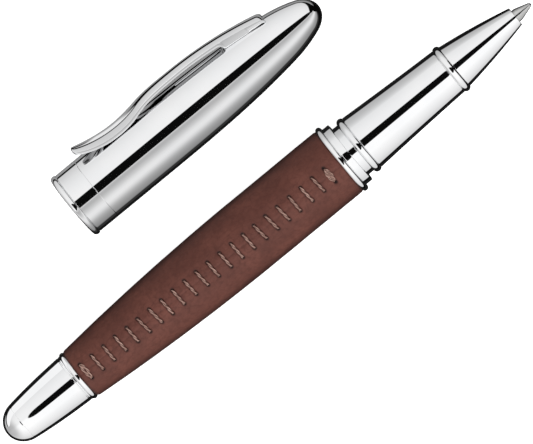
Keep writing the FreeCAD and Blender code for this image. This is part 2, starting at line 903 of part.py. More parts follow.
def make_clip():
    """The clip: a bowed arm on a solid block, with a tongue through the shell's slot."""
    foot_at, foot_arc = dim.clip_foot_at, dim.clip_foot_arc
    crest_at, fall = dim.clip_crest_at, dim.clip_fall_arc
    thick = dim.clip_thick
    foot_centre = dim.clip_foot_height + foot_arc
    end_height = arc_height(dim.clip_end, foot_at, foot_centre, foot_arc * -1)
    bend_height = arc_height(dim.clip_bend_at, foot_at, foot_centre, foot_arc * -1)
    crest = dim.clip_crest_height
    nose_at = dim.clip_block_end - dim.clip_nose_height
    nose_height = arc_height(nose_at, crest_at, crest - fall, fall)
    block_back = arc_height(dim.clip_block_at, crest_at, crest - fall, fall) - thick
    side = doc.addObject("PartDesign::Body", "clip_side")
    profile = sketch_on(
        side,
        "XZ_Plane",
        [
            (dim.clip_end, end_height, foot_arc * -1),
            (dim.clip_bend_at, bend_height, dim.clip_rise_arc),
            (crest_at, crest, fall),
            (nose_at, nose_height, dim.clip_nose_arc),
            (dim.clip_block_end, nose_height - dim.clip_nose_height),
            (dim.clip_block_end, dim.clip_floor_height),
            (dim.clip_block_at, dim.clip_floor_height),
            (dim.clip_block_at, block_back, fall * -1),
            (crest_at, crest - thick, dim.clip_rise_arc * -1),
            (dim.clip_bend_at + dim.clip_bend_lean, bend_height - thick, foot_arc),
            (dim.clip_end - dim.clip_lip_lean, end_height - thick),
        ],
        "outline",
    )
    slab = side.newObject("PartDesign::Pad", "clip_side_pad")
    slab.Profile = profile
    slab.SideType = "Symmetric"
    slab.setExpression("Length", "dims.clip_foot_width + dims.clip_side_spare")
    doc.recompute()
    half, foot_half = dim.clip_width / 2, dim.clip_foot_width / 2
    tip, tip_half = dim.clip_end - dim.clip_lip_lean, dim.clip_tip_width / 2
    waist_half = dim.clip_waist_width / 2
    plan = doc.addObject("PartDesign::Body", "clip_plan")
    seen = sketch_on(
        plan,
        "XY_Plane",
        [
            (tip, tip_half * -1, dim.clip_tip_arc),
            (tip, tip_half, dim.clip_foot_side_arc),
            (foot_at, foot_half, dim.clip_waist_side_arc),
            (dim.clip_waist_at, waist_half),
            (dim.clip_block_end, half),
            (dim.clip_block_end, half * -1),
            (dim.clip_waist_at, waist_half * -1, dim.clip_waist_side_arc),
            (foot_at, foot_half * -1, dim.clip_foot_side_arc),
        ],
        "outline",
    )
    tower = plan.newObject("PartDesign::Pad", "clip_plan_pad")
    tower.Profile = seen
    tower.setExpression("Length", "dims.clip_plan_height")
    doc.recompute()
    both = doc.addObject("Part::Common", "clip_blank")
    both.Base = side
    both.Tool = plan
    saddle = doc.addObject("PartDesign::Body", "clip_saddle")
    closed_outline = cap_outside(dim.clip_gap) + [(dim.cap_ring_width, ON_AXIS)]
    ring_profile = sketch_on(saddle, "XZ_Plane", closed_outline, "outline")
    solid = saddle.newObject("PartDesign::Revolution", "clip_saddle_turned")
    solid.Profile = ring_profile
    solid.ReferenceAxis = (ring_profile, ["H_Axis"])
    tongue = doc.addObject("Part::Box", "clip_tongue")
    tongue_width = dim.slot_width - dim.tongue_side_play
    tongue.setExpression("Length", "dims.slot_length - dims.tongue_play - dims.tongue_end_play")
    tongue.setExpression("Width", tongue_width.rule)
    tongue.setExpression("Height", "dims.tongue_height")
    place(tongue, (dim.slot_at + dim.tongue_play, tongue_width / -2, dim.tongue_bottom))
    body = doc.addObject("Part::Cut", "clip_body")
    body.Base = both
    body.Tool = saddle
    clip = doc.addObject("Part::Fuse", "clip")
    clip.Label = "clip"
    clip.Base = body
    clip.Tool = tongue
    place(clip, CAP_PLACE)
    face_clip_way(clip)
    doc.recompute()
    nodes.append(clip)


def check_and_write():
    """Stops on any failed object, then writes one STEP file for each piece."""
    doc.recompute()
    failed = [o.Name for o in doc.Objects if {"Invalid", "Error"} & set(o.State)]
    if failed:
        raise RuntimeError("failed objects: " + ", ".join(failed))
    os.makedirs("parts", exist_ok=True)
    for node in nodes:
        shape = node.Shape
        if shape.isNull() or not shape.isValid() or shape.Volume <= 0:
            raise RuntimeError(node.Label + " has no valid solid")
        shape.exportStep(os.path.join("parts", node.Label + ".step"))
        box = shape.optimalBoundingBox()
        print(
            "%-20s solids %2d  volume %9.3f  x %7.2f %7.2f  y %7.2f %7.2f  z %6.2f %6.2f"
            % (
                node.Label, len(shape.Solids), shape.Volume,
                box.XMin, box.XMax, box.YMin, box.YMax, box.ZMin, box.ZMax,
            )
        )


make_tail()
make_barrel()
nodes.append(stitch_row("seam_stitching", dim.stitch_dia / 2))
make_section()
make_refill()
make_spring()
make_cap()
make_clip()
check_and_write()
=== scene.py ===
"""Looks of a rollerball pen: chrome trim and grip, a stitched leather barrel, and its cap beside it.

Pieces are turned, lofted or sewn in millimetres along their own axis, then set on the pen's or the
cap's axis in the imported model's frame, which is in metres. "Along" runs from the pen's tail end, or
from the cap's mouth, towards +X.
"""
import math
import random

import bmesh
import bpy
from mathutils import Matrix, Vector, noise
from mathutils.geometry import interpolate_bezier


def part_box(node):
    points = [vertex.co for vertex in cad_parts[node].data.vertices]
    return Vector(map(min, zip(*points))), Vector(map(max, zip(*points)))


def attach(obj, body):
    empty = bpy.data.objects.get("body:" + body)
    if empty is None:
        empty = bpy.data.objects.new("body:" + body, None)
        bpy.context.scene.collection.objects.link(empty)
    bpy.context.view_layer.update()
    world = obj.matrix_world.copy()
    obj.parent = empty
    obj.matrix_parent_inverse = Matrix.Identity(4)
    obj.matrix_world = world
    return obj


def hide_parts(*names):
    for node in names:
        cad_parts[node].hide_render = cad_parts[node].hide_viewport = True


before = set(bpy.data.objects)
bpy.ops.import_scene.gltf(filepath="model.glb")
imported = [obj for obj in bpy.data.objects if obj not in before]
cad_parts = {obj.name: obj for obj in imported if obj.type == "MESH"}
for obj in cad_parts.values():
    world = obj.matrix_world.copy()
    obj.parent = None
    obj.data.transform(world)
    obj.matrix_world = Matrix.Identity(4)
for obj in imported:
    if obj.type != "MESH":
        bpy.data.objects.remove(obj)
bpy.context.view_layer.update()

MM = 0.001
SEED = 7


def middle_of(node):
    low, high = (Vector(corner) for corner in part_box(node))
    return (low + high) / 2


TAIL_END = Vector(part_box("tail_finial")[0]).x
CAP_MOUTH = Vector(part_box("cap_mouth_ring")[0]).x
PEN_AXIS = Vector((TAIL_END, middle_of("front_trim_ring").y, middle_of("front_trim_ring").z))
CAP_AXIS = Vector((CAP_MOUTH, middle_of("cap_mouth_ring").y, middle_of("cap_mouth_ring").z))
CLIP_TURN = math.radians(26)

# Places along the pen from its tail end, in millimetres.
DOME_END, CONE_END = 3.6, 16.2
LEATHER_BACK, LEATHER_LEVEL, LEATHER_FRONT = 17.3, 58.0, 78.1
BUSH_BACK, THREAD_BACK, BARREL_MOUTH = 66.1, 71.5, 79.2
COLLAR_FRONT, NECK_FRONT, GRIP_BACK, THREAD_TUBE_FRONT = 80.65, 81.95, 83.45, 85.95
GRIP_FRONT, NOSE_BACK, NOSE_SPIGOT_FRONT, NOSE_FRONT = 103.65, 105.1, 106.25, 119.4
REFILL_BACK, REFILL_TUBE_FRONT, POINT_BACK = 12.5, 98.0, 111.0
INK_BACK, INK_FRONT = 19.5, 92.0

# Radii that neighbouring pieces share, in millimetres.
STUD, TAIL_SPIGOT, REFILL_WAY = 2.0, 4.0, 3.35
BUSH_OUT, BUSH_BORE, THREAD_OUT, NOSE_SPIGOT = 5.1, 4.55, 4.5, 3.9
TUBE_OUT, REFILL_OUT, REFILL_BORE = 6.18, 3.05, 2.8
FEED_OUT, POINT_OUT, INK_CHANNEL = 0.9, 1.25, 0.15

# Places along the cap from its mouth, and radii there, in millimetres.
CAP_RING_FRONT, CAP_BORE_END, CAP_TAPER_END = 1.3, 22.5, 48.7
CAP_OUT, CAP_BORE = 6.45, 6.1

# ---------------------------------------------------------------- shader maths


class Signal:
    """One shader socket. Sums and products of signals add the Math nodes that work them out."""

    def __init__(self, recipe, socket):
        self.recipe = recipe
        self.socket = socket

    def maths(self, operation, *others):
        return self.recipe.node(
            "ShaderNodeMath", {"operation": operation}, dict(enumerate((self, *others)))
        )

    def __add__(self, other):
        return self.maths("ADD", other)

    __radd__ = __add__

    def __sub__(self, other):
        return self.maths("SUBTRACT", other)

    def __rsub__(self, other):
        return (self * -1) + other

    def __mul__(self, other):
        return self.maths("MULTIPLY", other)

    __rmul__ = __mul__

    def __truediv__(self, other):
        return self.maths("DIVIDE", other)

    def __pow__(self, other):
        return self.maths("POWER", other)

    def between(self, low, high, out_low=0.0, out_high=1.0):
        """Goes smoothly from out_low to out_high as the signal goes from low to high."""
        return self.recipe.node(
            "ShaderNodeMapRange",
            {"interpolation_type": "SMOOTHSTEP"},
            {
                "Value": self,
                "From Min": low,
                "From Max": high,
                "To Min": out_low,
                "To Max": out_high,
            },
        )


class Recipe:
    """Nodes of one material or world."""

    def __init__(self, owner):
        owner.use_nodes = True
        self.owner = owner
        self.tree = owner.node_tree
        self.surface = self.tree.nodes.get("Principled BSDF")

    def node(self, kind, settings=None, sockets=None, output=0):
        made = self.tree.nodes.new(kind)
        for name, setting in (settings or {}).items():
            if name == "stops":
                self.set_stops(made.color_ramp, setting)
            else:
                setattr(made, name, setting)
        for name, value in (sockets or {}).items():
            self.feed(made.inputs[name], value)
        return Signal(self, made.outputs[output])

    def set_stops(self, ramp, stops):
        while len(ramp.elements) < len(stops):
            ramp.elements.new(0.5)
        for element, (position, colour) in zip(ramp.elements, stops):
            element.position = position
            element.color = colour if len(colour) == 4 else (*colour, 1)

    def feed(self, socket, value):
        if isinstance(value, Signal):
            self.tree.links.new(value.socket, socket)
        else:
            socket.default_value = value

    def give(self, **values):
        """Sets or links the surface shader's sockets, named with _ for a space."""
        for name, value in values.items():
            self.feed(self.surface.inputs[name.replace("_", " ")], value)

    def place(self):
        return self.node("ShaderNodeTexCoord", output=3)

    def stretched(self, vector, scale):
        return self.node("ShaderNodeMapping", None, {"Vector": vector, "Scale": scale})

    def grain(self, vector, size, detail=3.0, roughness=0.55):
        """Cloudy noise whose patches are about size metres across."""
        return self.node(
            "ShaderNodeTexNoise",
            None,
            {"Vector": vector, "Scale": 1 / size, "Detail": detail, "Roughness": roughness},
        )

    def cells(self, vector, size, feature="F1", output=0, jitter=1.0):
        return self.node(
            "ShaderNodeTexVoronoi",
            {"feature": feature},
            {"Vector": vector, "Scale": 1 / size, "Randomness": jitter},
            output,
        )

    def tint(self, share, from_colour, to_colour):
        """Goes from one colour to another as share goes from 0 to 1."""
        pair = [c if isinstance(c, Signal) else (*c, 1) for c in (from_colour, to_colour)]
        return self.node(
            "ShaderNodeMix",
            {"data_type": "RGBA"},
            {0: share, 6: pair[0], 7: pair[1]},
            output=2,
        )

    def bump(self, height, depth, strength=1.0):
        return self.node(
            "ShaderNodeBump", None, {"Height": height, "Distance": depth, "Strength": strength}
        )


def finish_named(name):
    return Recipe(bpy.data.materials.new(name))


def polished_chrome():
    """Bright mirror plating with a trace of handling haze and the finest polishing marks."""
    recipe = finish_named("polished_chrome")
    place = recipe.place()
    haze = recipe.grain(place, 9 * MM, 4.0)
    marks = recipe.grain(recipe.stretched(place, (0.08, 1, 1)), 0.35 * MM, 2.0)
    speck = recipe.grain(place, 0.9 * MM, 2.0)
    recipe.give(
        Base_Color=recipe.tint(haze.between(0.35, 0.7), (0.93, 0.935, 0.945), (0.965, 0.965, 0.97)),
        Metallic=1.0,
        Roughness=haze.between(0.4, 0.75, 0.010, 0.022) + marks * 0.006,
        Normal=recipe.bump(speck + marks * 0.1, 0.0010 * MM, 0.15),
    )
    return recipe.owner


def brown_leather():
    """Smooth satin hide: fine pebbled grain, mottled dye, painted shade in the grain's creases, along
    the seam and in the needle holes, and a painted dark rim.
    """
    recipe = finish_named("brown_leather")
    place = recipe.place()
    mottle = recipe.grain(place, 6 * MM, 4.0, 0.6)
    fine = recipe.grain(place, 0.9 * MM, 3.0)
    pebble = recipe.cells(place, 0.42 * MM)
    crease = recipe.cells(recipe.stretched(place, (0.6, 1, 1)), 1.1 * MM, "DISTANCE_TO_EDGE")
    pore = recipe.grain(place, 0.16 * MM, 2.0)
    tuck = recipe.node("ShaderNodeAttribute", {"attribute_name": "tuck"}, output=2)
    strain = recipe.node("ShaderNodeAttribute", {"attribute_name": "strain"}, output=2)
    dye = recipe.tint(
        mottle.between(0.3, 0.72), (0.104, 0.0312, 0.0214), (0.154, 0.0505, 0.0355)
    )
    dye = recipe.tint(strain * 0.4, dye, (0.176, 0.058, 0.042))
    # Painted shade in the grain's creases, plus random darker mottling from the fine noise.
    crease_shade_and_mottle = crease.between(0.0, 0.09, 1.0, 0.0) * 0.25 + fine.between(0.4, 0.7) * 0.4
    dye = recipe.tint(crease_shade_and_mottle, dye, (0.078, 0.0215, 0.0145))
    # Painted shade: the hide darkens towards its silhouette, where its surface turns away from the
    # camera.
    rim_shade = recipe.node("ShaderNodeLayerWeight", None, {"Blend": 0.5}, output=1)
    dye = recipe.tint(rim_shade.between(0.38, 0.80) * 0.72, dye, (0.022, 0.0075, 0.0055))
    # Painted shade: the seam shade darkens the hide to near black in the seam groove, in and beside
    # the needle holes and at the hide's ends.
    dye = recipe.tint(tuck, dye, (0.012, 0.0045, 0.0035))
    height = crease.between(0.0, 0.22) * 0.5 + (1 - pebble) * 0.35 + pore * 0.3 + fine * 0.3
    recipe.give(
        Base_Color=dye,
        Roughness=mottle.between(0.3, 0.7, 0.5, 0.58) + pore * 0.06,
        Normal=recipe.bump(height, 0.045 * MM, 0.7),
        Specular_IOR_Level=0.26,
    )
    return recipe.owner


def seam_thread():
    """Waxed tan cord: each ply shows its fibres, with a painted highlight on its top and painted
    shade underneath and where it dives into the needle holes.
    """
    recipe = finish_named("seam_thread")
    place = recipe.place()
    shade = recipe.grain(place, 1.3 * MM, 3.0)
    fibres = recipe.grain(recipe.stretched(place, (1, 0.35, 0.35)), 0.06 * MM, 3.0)
    rub = recipe.node("ShaderNodeAttribute", {"attribute_name": "rub"}, output=2)
    body = recipe.tint(shade.between(0.35, 0.7), (0.25, 0.128, 0.098), (0.42, 0.25, 0.205))
    # Painted light and shade: each ply keeps full colour on top and goes near black underneath and in
    # the holes.
    body = recipe.tint(rub.between(0.1, 0.75), (0.055, 0.019, 0.014), body)
    recipe.give(
        Base_Color=recipe.tint(fibres.between(0.35, 0.7) * 0.45, body, (0.66, 0.45, 0.38)),
        Roughness=fibres.between(0.3, 0.7, 0.5, 0.72),
        Normal=recipe.bump(fibres, 0.03 * MM, 0.6),
        Specular_IOR_Level=0.4,
    )
    return recipe.owner


def turned_metal(name, dark, light, low, high, mark_size=0.05):
    """Machined metal with turning marks round its axis and slight tarnish."""
    recipe = finish_named(name)
    place = recipe.place()
    tarnish = recipe.grain(place, 3.5 * MM, 4.0)
    marks = recipe.grain(recipe.stretched(place, (1, 0.04, 0.04)), mark_size * MM, 3.0)
    recipe.give(
        Base_Color=recipe.tint(tarnish.between(0.35, 0.7) * 0.8 + marks * 0.2, light, dark),
        Metallic=1.0,
        Roughness=tarnish.between(0.3, 0.75, low, high) + marks * 0.08,
        Normal=recipe.bump(marks, 0.004 * MM, 0.5),
    )
    return recipe.owner


def moulded_plastic(name, dark, light, low, high):
    """Moulded plastic with a faint sparked texture and flow marks."""
    recipe = finish_named(name)
    place = recipe.place()
    flow = recipe.grain(recipe.stretched(place, (0.3, 1, 1)), 4 * MM, 3.0)
    spark = recipe.grain(place, 0.12 * MM, 2.0)
    recipe.give(
        Base_Color=recipe.tint(flow.between(0.35, 0.7), dark, light),
        Roughness=flow.between(0.3, 0.7, low, high) + spark * 0.05,
        Normal=recipe.bump(spark, 0.006 * MM, 0.5),
    )
    return recipe.owner


CHROME = polished_chrome()
LEATHER = brown_leather()
THREAD = seam_thread()
BRASS = turned_metal("bare_brass", (0.52, 0.33, 0.12), (0.80, 0.60, 0.30), 0.22, 0.38)
REFILL_STEEL = turned_metal("drawn_steel", (0.50, 0.50, 0.51), (0.70, 0.70, 0.71), 0.20, 0.32)
POINT_METAL = turned_metal("nickel_silver", (0.46, 0.46, 0.455), (0.66, 0.66, 0.65), 0.09, 0.16, 0.03)
SPRING_STEEL = turned_metal("spring_steel", (0.42, 0.42, 0.44), (0.62, 0.62, 0.64), 0.20, 0.34)
CARBIDE = turned_metal("ground_carbide", (0.22, 0.22, 0.24), (0.36, 0.36, 0.38), 0.12, 0.2, 0.02)
BLACK_PLASTIC = moulded_plastic(
    "black_plastic", (0.012, 0.012, 0.013), (0.024, 0.024, 0.026), 0.28, 0.42
)
GREY_PLASTIC = moulded_plastic("grey_plastic", (0.36, 0.36, 0.37), (0.46, 0.46, 0.47), 0.4, 0.52)
INK = moulded_plastic("black_ink", (0.004, 0.004, 0.006), (0.010, 0.010, 0.016), 0.05, 0.12)

# ---------------------------------------------------------------- making pieces


def lathe_line(stations, step=0.35):
    """Points along a lathe template.

    A station is (along, out) at a corner, or (along, out, heading) where the line is smooth, with
    the heading in degrees from +X. Two smooth stations in a row are joined by a curve, which is a
    true arc wherever the two headings allow one.
    """
    line = []
    for here, there in zip(stations, stations[1:]):
        start, end = Vector(here[:2]), Vector(there[:2])
        line.append(start)
        if len(here) < 3 or len(there) < 3:
            continue
        turn = math.radians(abs(there[2] - here[2]))
        reach = (end - start).length
        pull = reach * (2 / 3 * math.tan(turn / 4) / math.sin(turn / 2) if turn > 0.001 else 1 / 3)
        ways = [math.radians(station[2]) for station in (here, there)]
        handles = (
            start + Vector((math.cos(ways[0]), math.sin(ways[0]))) * pull,
            end - Vector((math.cos(ways[1]), math.sin(ways[1]))) * pull,
        )
        count = max(4, round(reach / step), round(math.degrees(turn) / 3))
        corners = [spot.to_3d() for spot in (start, *handles, end)]
        curve = interpolate_bezier(*corners, count + 1)
        line.extend(point.to_2d() for point in curve[1:-1])
    line.append(Vector(stations[-1][:2]))
    return line


def out_at(line, along):
    """How far out a line is at a distance along."""
    for a, b in zip(line, line[1:]):
        if a.x <= along <= b.x and b.x > a.x:
            return a.y + (b.y - a.y) * (along - a.x) / (b.x - a.x)
    return line[-1].y if along > line[-1].x else line[0].y


def spin_line(line, around, closed):
    """A bmesh with the line spun round the X axis."""
    shape = bmesh.new()
    points = [shape.verts.new((p.x, 0, p.y)) for p in line]
    ends = zip(points, points[1:] + points[:1]) if closed else zip(points, points[1:])
    edges = [shape.edges.new(pair) for pair in ends]
    bmesh.ops.spin(
        shape,
        geom=points + edges,
        axis=(1, 0, 0),
        cent=(0, 0, 0),
        angle=math.tau,
        steps=around,
        use_merge=True,
    )
    bmesh.ops.remove_doubles(shape, verts=shape.verts, dist=0.0005)
    bmesh.ops.recalc_face_normals(shape, faces=shape.faces)
    return shape


def soften(shape, offset, segments=2, sharper_than=35.0):
    """Rounds the edges that turn by more than an angle."""
    edges = [
        edge
        for edge in shape.edges
        if edge.is_manifold and math.degrees(edge.calc_face_angle()) > sharper_than
    ]
    bmesh.ops.bevel(
        shape,
        geom=edges,
        offset=offset,
        offset_type="OFFSET",
        segments=segments,
        profile=0.5,
        affect="EDGES",
        material=-1,
        clamp_overlap=True,
    )


def set_down(shape, name, at, material, body, nodes, shine=True):
    """Moves a finished shape from millimetres to its place and hands it to the frame."""
    bmesh.ops.scale(shape, vec=(MM, MM, MM), verts=shape.verts)
    bmesh.ops.translate(shape, vec=at, verts=shape.verts)
    for face in shape.faces:
        face.smooth = True
    mesh = bpy.data.meshes.new(name)
    shape.to_mesh(mesh)
    shape.free()
    mesh.materials.append(material)
    piece = bpy.data.objects.new(name, mesh)
    bpy.context.scene.collection.objects.link(piece)
    if shine:
        even = piece.modifiers.new("even_shine", "WEIGHTED_NORMAL")
        even.keep_sharp = False
        even.weight = 100
    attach(piece, body)
    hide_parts(*nodes)
    return piece


def turned(name, stations, at, material, body, around=160, edge=0.05, closed=True):
    """A turned piece that stands for the node of the same name."""
    shape = spin_line(lathe_line(stations), around, closed)
    if edge:
        soften(shape, edge)
    return set_down(shape, name + "_looks", at, material, body, [name])


def bead(start, width, out, crown, bore):
    """Template of a rounded ring: an arc over its whole width."""
    lean = math.degrees(2 * math.atan(2 * crown / width))
    return [
        (start, bore),
        (start, out - crown),
        (start, out - crown, lean),
        (start + width, out - crown, -lean),
        (start + width, bore),
    ]


def make_tail():
    turned(
        "tail_finial",
        [(0, 0, 90), (DOME_END, 3.85, 8), (DOME_END, STUD), (7.6, STUD), (7.6, 0)],
        PEN_AXIS, CHROME, "barrel", edge=0.04, closed=False,
    )
    turned(
        "tail_cone",
        [
            (DOME_END, 3.85, 8),
            (15.7, 4.85, 2.4),
            (15.78, 4.79),
            (15.92, 4.79),
            (16.0, 4.87),
            (CONE_END, 4.87),
            (CONE_END, TAIL_SPIGOT),
            (23.2, TAIL_SPIGOT),
            (23.2, REFILL_WAY),
            (8.0, REFILL_WAY),
            (8.0, STUD),
            (DOME_END, STUD),
        ],
        PEN_AXIS, CHROME, "barrel", edge=0.03,
    )
    turned(
        "tail_band", bead(CONE_END, LEATHER_BACK - CONE_END, 5.16, 0.36, TAIL_SPIGOT),
        PEN_AXIS, CHROME, "barrel",
    )
    turned(
        "spring_seat",
        [(8.0, 0), (8.0, REFILL_WAY), (9.4, REFILL_WAY), (9.4, 1.8), (10.2, 1.8), (10.2, 0)],
        PEN_AXIS, BRASS, "barrel", around=64, closed=False,
    )


def thread_rings(start, out, inward):
    """Template of cut thread: shallow grooves one pitch apart."""
    depth, pitch, count = 0.3, 1.0, 6
    side = -1 if inward else 1
    line = []
    for turn in range(count):
        at = start + turn * pitch
        line += [(at, out), (at + pitch / 4, out - side * depth), (at + pitch / 2, out)]
    return line


def make_barrel():
    turned(
        "front_trim_ring", bead(LEATHER_FRONT, BARREL_MOUTH - LEATHER_FRONT, 7.225, 0.38, BUSH_OUT),
        PEN_AXIS, CHROME, "barrel", around=192,
    )
    turned(
        "barrel_tube",
        [
            (LEATHER_BACK, 4.38, 5.1),
            (LEATHER_LEVEL, TUBE_OUT, 0),
            (LEATHER_FRONT, TUBE_OUT),
            (LEATHER_FRONT, BUSH_OUT),
            (BUSH_BACK, BUSH_OUT),
            (BUSH_BACK, TAIL_SPIGOT),
            (LEATHER_BACK, TAIL_SPIGOT),
        ],
        PEN_AXIS, BRASS, "barrel", around=96,
    )
    rings = thread_rings(THREAD_BACK, BUSH_BORE, inward=True)
    turned(
        "barrel_thread_bush",
        [(BUSH_BACK, BUSH_OUT), (BARREL_MOUTH, BUSH_OUT), (BARREL_MOUTH, BUSH_BORE)]
        + rings[::-1]
        + [(BUSH_BACK, BUSH_BORE)],
        PEN_AXIS, BRASS, "barrel", around=96, edge=0,
    )


def make_section():
    rings = thread_rings(72.0, THREAD_OUT, inward=False)
    turned(
        "section_thread_tube",
        [(THREAD_BACK, REFILL_WAY), (THREAD_BACK, THREAD_OUT)]
        + rings
        + [(THREAD_TUBE_FRONT, THREAD_OUT), (THREAD_TUBE_FRONT, REFILL_WAY)],
        PEN_AXIS, BRASS, "section", around=96, edge=0,
    )
    turned(
        "section_collar",
        [
            (BARREL_MOUTH, THREAD_OUT),
            (BARREL_MOUTH, 6.36),
            (COLLAR_FRONT, 6.36),
            (COLLAR_FRONT, 5.25),
            (NECK_FRONT, 5.25),
            (NECK_FRONT, THREAD_OUT),
        ],
        PEN_AXIS, CHROME, "section", around=192, edge=0.06,
    )
    turned(
        "cap_stop_ring", bead(NECK_FRONT, GRIP_BACK - NECK_FRONT, 5.98, 0.5, THREAD_OUT),
        PEN_AXIS, CHROME, "section", around=192,
    )
    turned(
        "grip_sleeve",
        [
            (GRIP_BACK, 5.65, -3.3),
            (GRIP_FRONT, 4.68, -2.2),
            (GRIP_FRONT, NOSE_SPIGOT),
            (NOSE_SPIGOT_FRONT, NOSE_SPIGOT),
            (NOSE_SPIGOT_FRONT, REFILL_WAY),
            (THREAD_TUBE_FRONT, REFILL_WAY),
            (THREAD_TUBE_FRONT, THREAD_OUT),
            (GRIP_BACK, THREAD_OUT),
        ],
        PEN_AXIS, CHROME, "section", around=192,
    )
    turned(
        "grip_front_ring", bead(GRIP_FRONT, NOSE_BACK - GRIP_FRONT, 5.0, 0.45, NOSE_SPIGOT),
        PEN_AXIS, CHROME, "section",
    )
    turned(
        "nose_cone",
        [
            (NOSE_BACK, 4.49, -7.4),
            (NOSE_FRONT, 1.9, -13.0),
            (NOSE_FRONT, 1.35),
            (115.8, 1.35),
            (112.0, 2.6),
            (NOSE_SPIGOT_FRONT, 2.6),
            (NOSE_SPIGOT_FRONT, NOSE_SPIGOT),
            (NOSE_BACK, NOSE_SPIGOT),
        ],
        PEN_AXIS, CHROME, "section",
    )


def make_refill():
    turned(
        "refill_tube",
        [
            (REFILL_BACK, REFILL_BORE),
            (REFILL_BACK, REFILL_OUT),
            (REFILL_TUBE_FRONT, REFILL_OUT),
            (REFILL_TUBE_FRONT, REFILL_BORE),
        ],
        PEN_AXIS, REFILL_STEEL, "refill", around=96,
    )
    turned(
        "refill_end_plug",
        [(REFILL_BACK, 0.5), (REFILL_BACK, REFILL_BORE), (15.5, REFILL_BORE), (15.5, 0.5)],
        PEN_AXIS, GREY_PLASTIC, "refill", around=64,
    )
    turned(
        "refill_ink",
        [(INK_BACK, 0), (INK_BACK, REFILL_BORE), (INK_FRONT, REFILL_BORE), (INK_FRONT, 0)],
        PEN_AXIS, INK, "refill", around=64, closed=False,
    )
    turned(
        "refill_nozzle",
        [
            (94.0, FEED_OUT),
            (94.0, REFILL_BORE),
            (REFILL_TUBE_FRONT, REFILL_BORE),
            (REFILL_TUBE_FRONT, REFILL_OUT),
            (101.0, REFILL_OUT),
            (102.2, 2.35),
            (111.6, 2.35),
            (114.6, 1.35),
            (114.6, POINT_OUT),
            (POINT_BACK, POINT_OUT),
            (POINT_BACK, FEED_OUT),
        ],
        PEN_AXIS, BLACK_PLASTIC, "refill", around=96,
    )
    turned(
        "refill_feed_rod",
        [(INK_FRONT, 0), (INK_FRONT, FEED_OUT), (POINT_BACK, FEED_OUT), (POINT_BACK, 0)],
        PEN_AXIS, GREY_PLASTIC, "refill", around=48, closed=False,
    )
    turned(
        "refill_point",
        [
            (POINT_BACK, INK_CHANNEL),
            (POINT_BACK, POINT_OUT),
            (120.0, POINT_OUT),
            (122.7, 0.42),
            (122.7, 0.37),
            (122.25, 0.37),
            (122.25, INK_CHANNEL),
        ],
        PEN_AXIS, POINT_METAL, "refill", around=96, edge=0.02,
    )
    ball = bmesh.new()
    bmesh.ops.create_uvsphere(ball, u_segments=32, v_segments=20, radius=0.35)
    bmesh.ops.translate(ball, vec=(122.65, 0, 0), verts=ball.verts)
    set_down(
        ball, "refill_ball_looks", PEN_AXIS, CARBIDE, "refill",
        ["refill_ball"], False,
    )


def make_spring():
    wire, wire_sides, coil_out, spring_back = 0.2, 10, 2.2, 9.62
    turns, rise, steps = 3.7, 2.66, 148
    coil = bmesh.new()
    ring = bmesh.ops.create_circle(
        coil, segments=wire_sides, radius=wire, matrix=Matrix.Rotation(math.pi / 2, 4, "X")
    )
    bmesh.ops.translate(coil, vec=(spring_back, 0, coil_out), verts=coil.verts)
    bmesh.ops.spin(
        coil,
        geom=ring["verts"] + coil.edges[:],
        axis=(1, 0, 0),
        cent=(0, 0, 0),
        dvec=(rise / steps, 0, 0),
        angle=math.tau * turns,
        steps=steps,
    )
    bmesh.ops.holes_fill(coil, edges=coil.edges, sides=wire_sides)
    bmesh.ops.recalc_face_normals(coil, faces=coil.faces)
    set_down(
        coil, "refill_spring_looks", PEN_AXIS, SPRING_STEEL, "spring",
        ["refill_spring"], False,
    )


# ---------------------------------------------------------------- leather and seam

LEATHER_OUT = 6.93
LEATHER_LINE = lathe_line(
    [(LEATHER_BACK, 5.13, 5.1), (LEATHER_LEVEL, LEATHER_OUT, 0), (LEATHER_FRONT, LEATHER_OUT, 0)],
    0.25,
)
STITCH_FIRST, STITCH_PITCH, STITCHES = 18.7, 2.7, 22
STITCH_LENGTH = 3.35
SEAM_DEPTH, SEAM_WIDTH = 0.08, 0.14
SWELL_HEIGHT, SWELL_AT, SWELL_WIDTH = 0.05, 0.75, 0.5
PRESS_DEPTH, PRESS_WIDTH, PRESS_FADE = 0.12, 0.34, 0.12
HOLE_DEPTH, HOLE_WIDTH, HOLE_SHADE = 0.28, 0.28, 0.30
PUCKER_HEIGHT, PUCKER_AT, PUCKER_WIDTH = 0.05, 0.5, 0.8
EDGE_WIDTH, EDGE_DROP = 0.45, 0.16
STRAIN_WIDTH = 2.6
CORD_IN_HOLES, CORD_STANDS = 0.4, 0.09


def seam_angle(along):
    """Where the seam runs, as an angle from the top towards -Y."""
    share = (along - LEATHER_BACK) / (LEATHER_FRONT - LEATHER_BACK)
    return math.radians(3.0 + 4.2 * min(1.0, share * 1.3))


def bell(distance, width):
    return math.exp(-((distance / width) ** 2))


def stitch_places():
    """Along, sideways shift and lean of each stitch, a little uneven as sewn by hand."""
    rng = random.Random(SEED)
    places = []
    for number in range(STITCHES):
        places.append(
            (
                STITCH_FIRST + STITCH_PITCH * number + rng.uniform(-0.06, 0.06),
                rng.uniform(-0.07, 0.07),
                rng.uniform(0.01, 0.11),
            )
        )
    return places


STITCH_PLACES = stitch_places()


